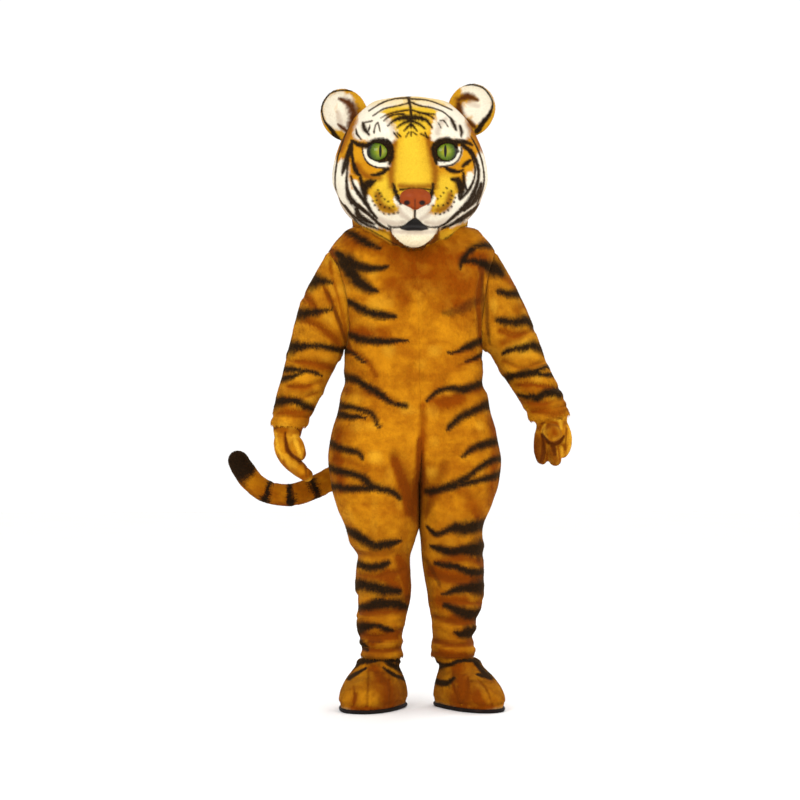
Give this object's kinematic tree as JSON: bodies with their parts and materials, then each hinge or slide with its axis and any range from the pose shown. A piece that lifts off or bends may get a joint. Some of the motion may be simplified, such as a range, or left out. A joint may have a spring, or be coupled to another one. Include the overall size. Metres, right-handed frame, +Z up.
{
  "type": "tiger mascot costume",
  "caption": "Tiger mascot costume: plush one-piece suit with a large head, paw gloves, foot covers and tail, worn by a person.",
  "frame": {"origin": "middle of the wearer's shoulder line, 1.382 m above the soles' underside", "axes": "+Z up, the costume faces -Y, the wearer's left is at +X; the arms hang slightly out along X"},
  "size_m": [1.0321, 0.5319, 1.8661],
  "materials": {
    "plush": "short-pile plush, striped",
    "sleeve_plush": "short-pile plush, striped",
    "glove_plush": "short-pile plush",
    "foot_plush": "short-pile plush, striped",
    "face_plush": "short-pile plush, airbrushed",
    "ear_plush": "short-pile plush",
    "mesh": "black see-through mesh",
    "eye": "glossy green with a slit pupil",
    "nose": "satin terracotta",
    "sole": "matt dark foam rubber",
    "tape": "woven tape",
    "zip_metal": "satin"
  },
  "bodies": {
    "suit": {"front_left": "plush", "front_right": "plush", "back_left": "plush", "back_right": "plush", "sleeve_left": "sleeve_plush", "sleeve_right": "sleeve_plush", "glove_left": "glove_plush", "glove_right": "glove_plush", "foot_left": "foot_plush", "foot_right": "foot_plush", "sole_left": "sole", "sole_right": "sole", "head_shell": "face_plush", "mouth_mesh": "mesh", "ear_left": "ear_plush", "ear_right": "ear_plush", "eye_left": "eye", "eye_right": "eye", "nose": "nose", "neck_skirt": "plush", "tail": "plush", "zip_tape": "tape", "zip_slider": "zip_metal"},
    "zip_pull": {"zip_pull": "zip_metal"}
  },
  "joints": [
    {"name": "pull_swing", "type": "hinge", "parent": "suit", "child": "zip_pull", "pos_m": [-0.01084, 0.13337, -0.00411], "axis": [1, 0, 0], "range_deg": [0, 150]}
  ]
}
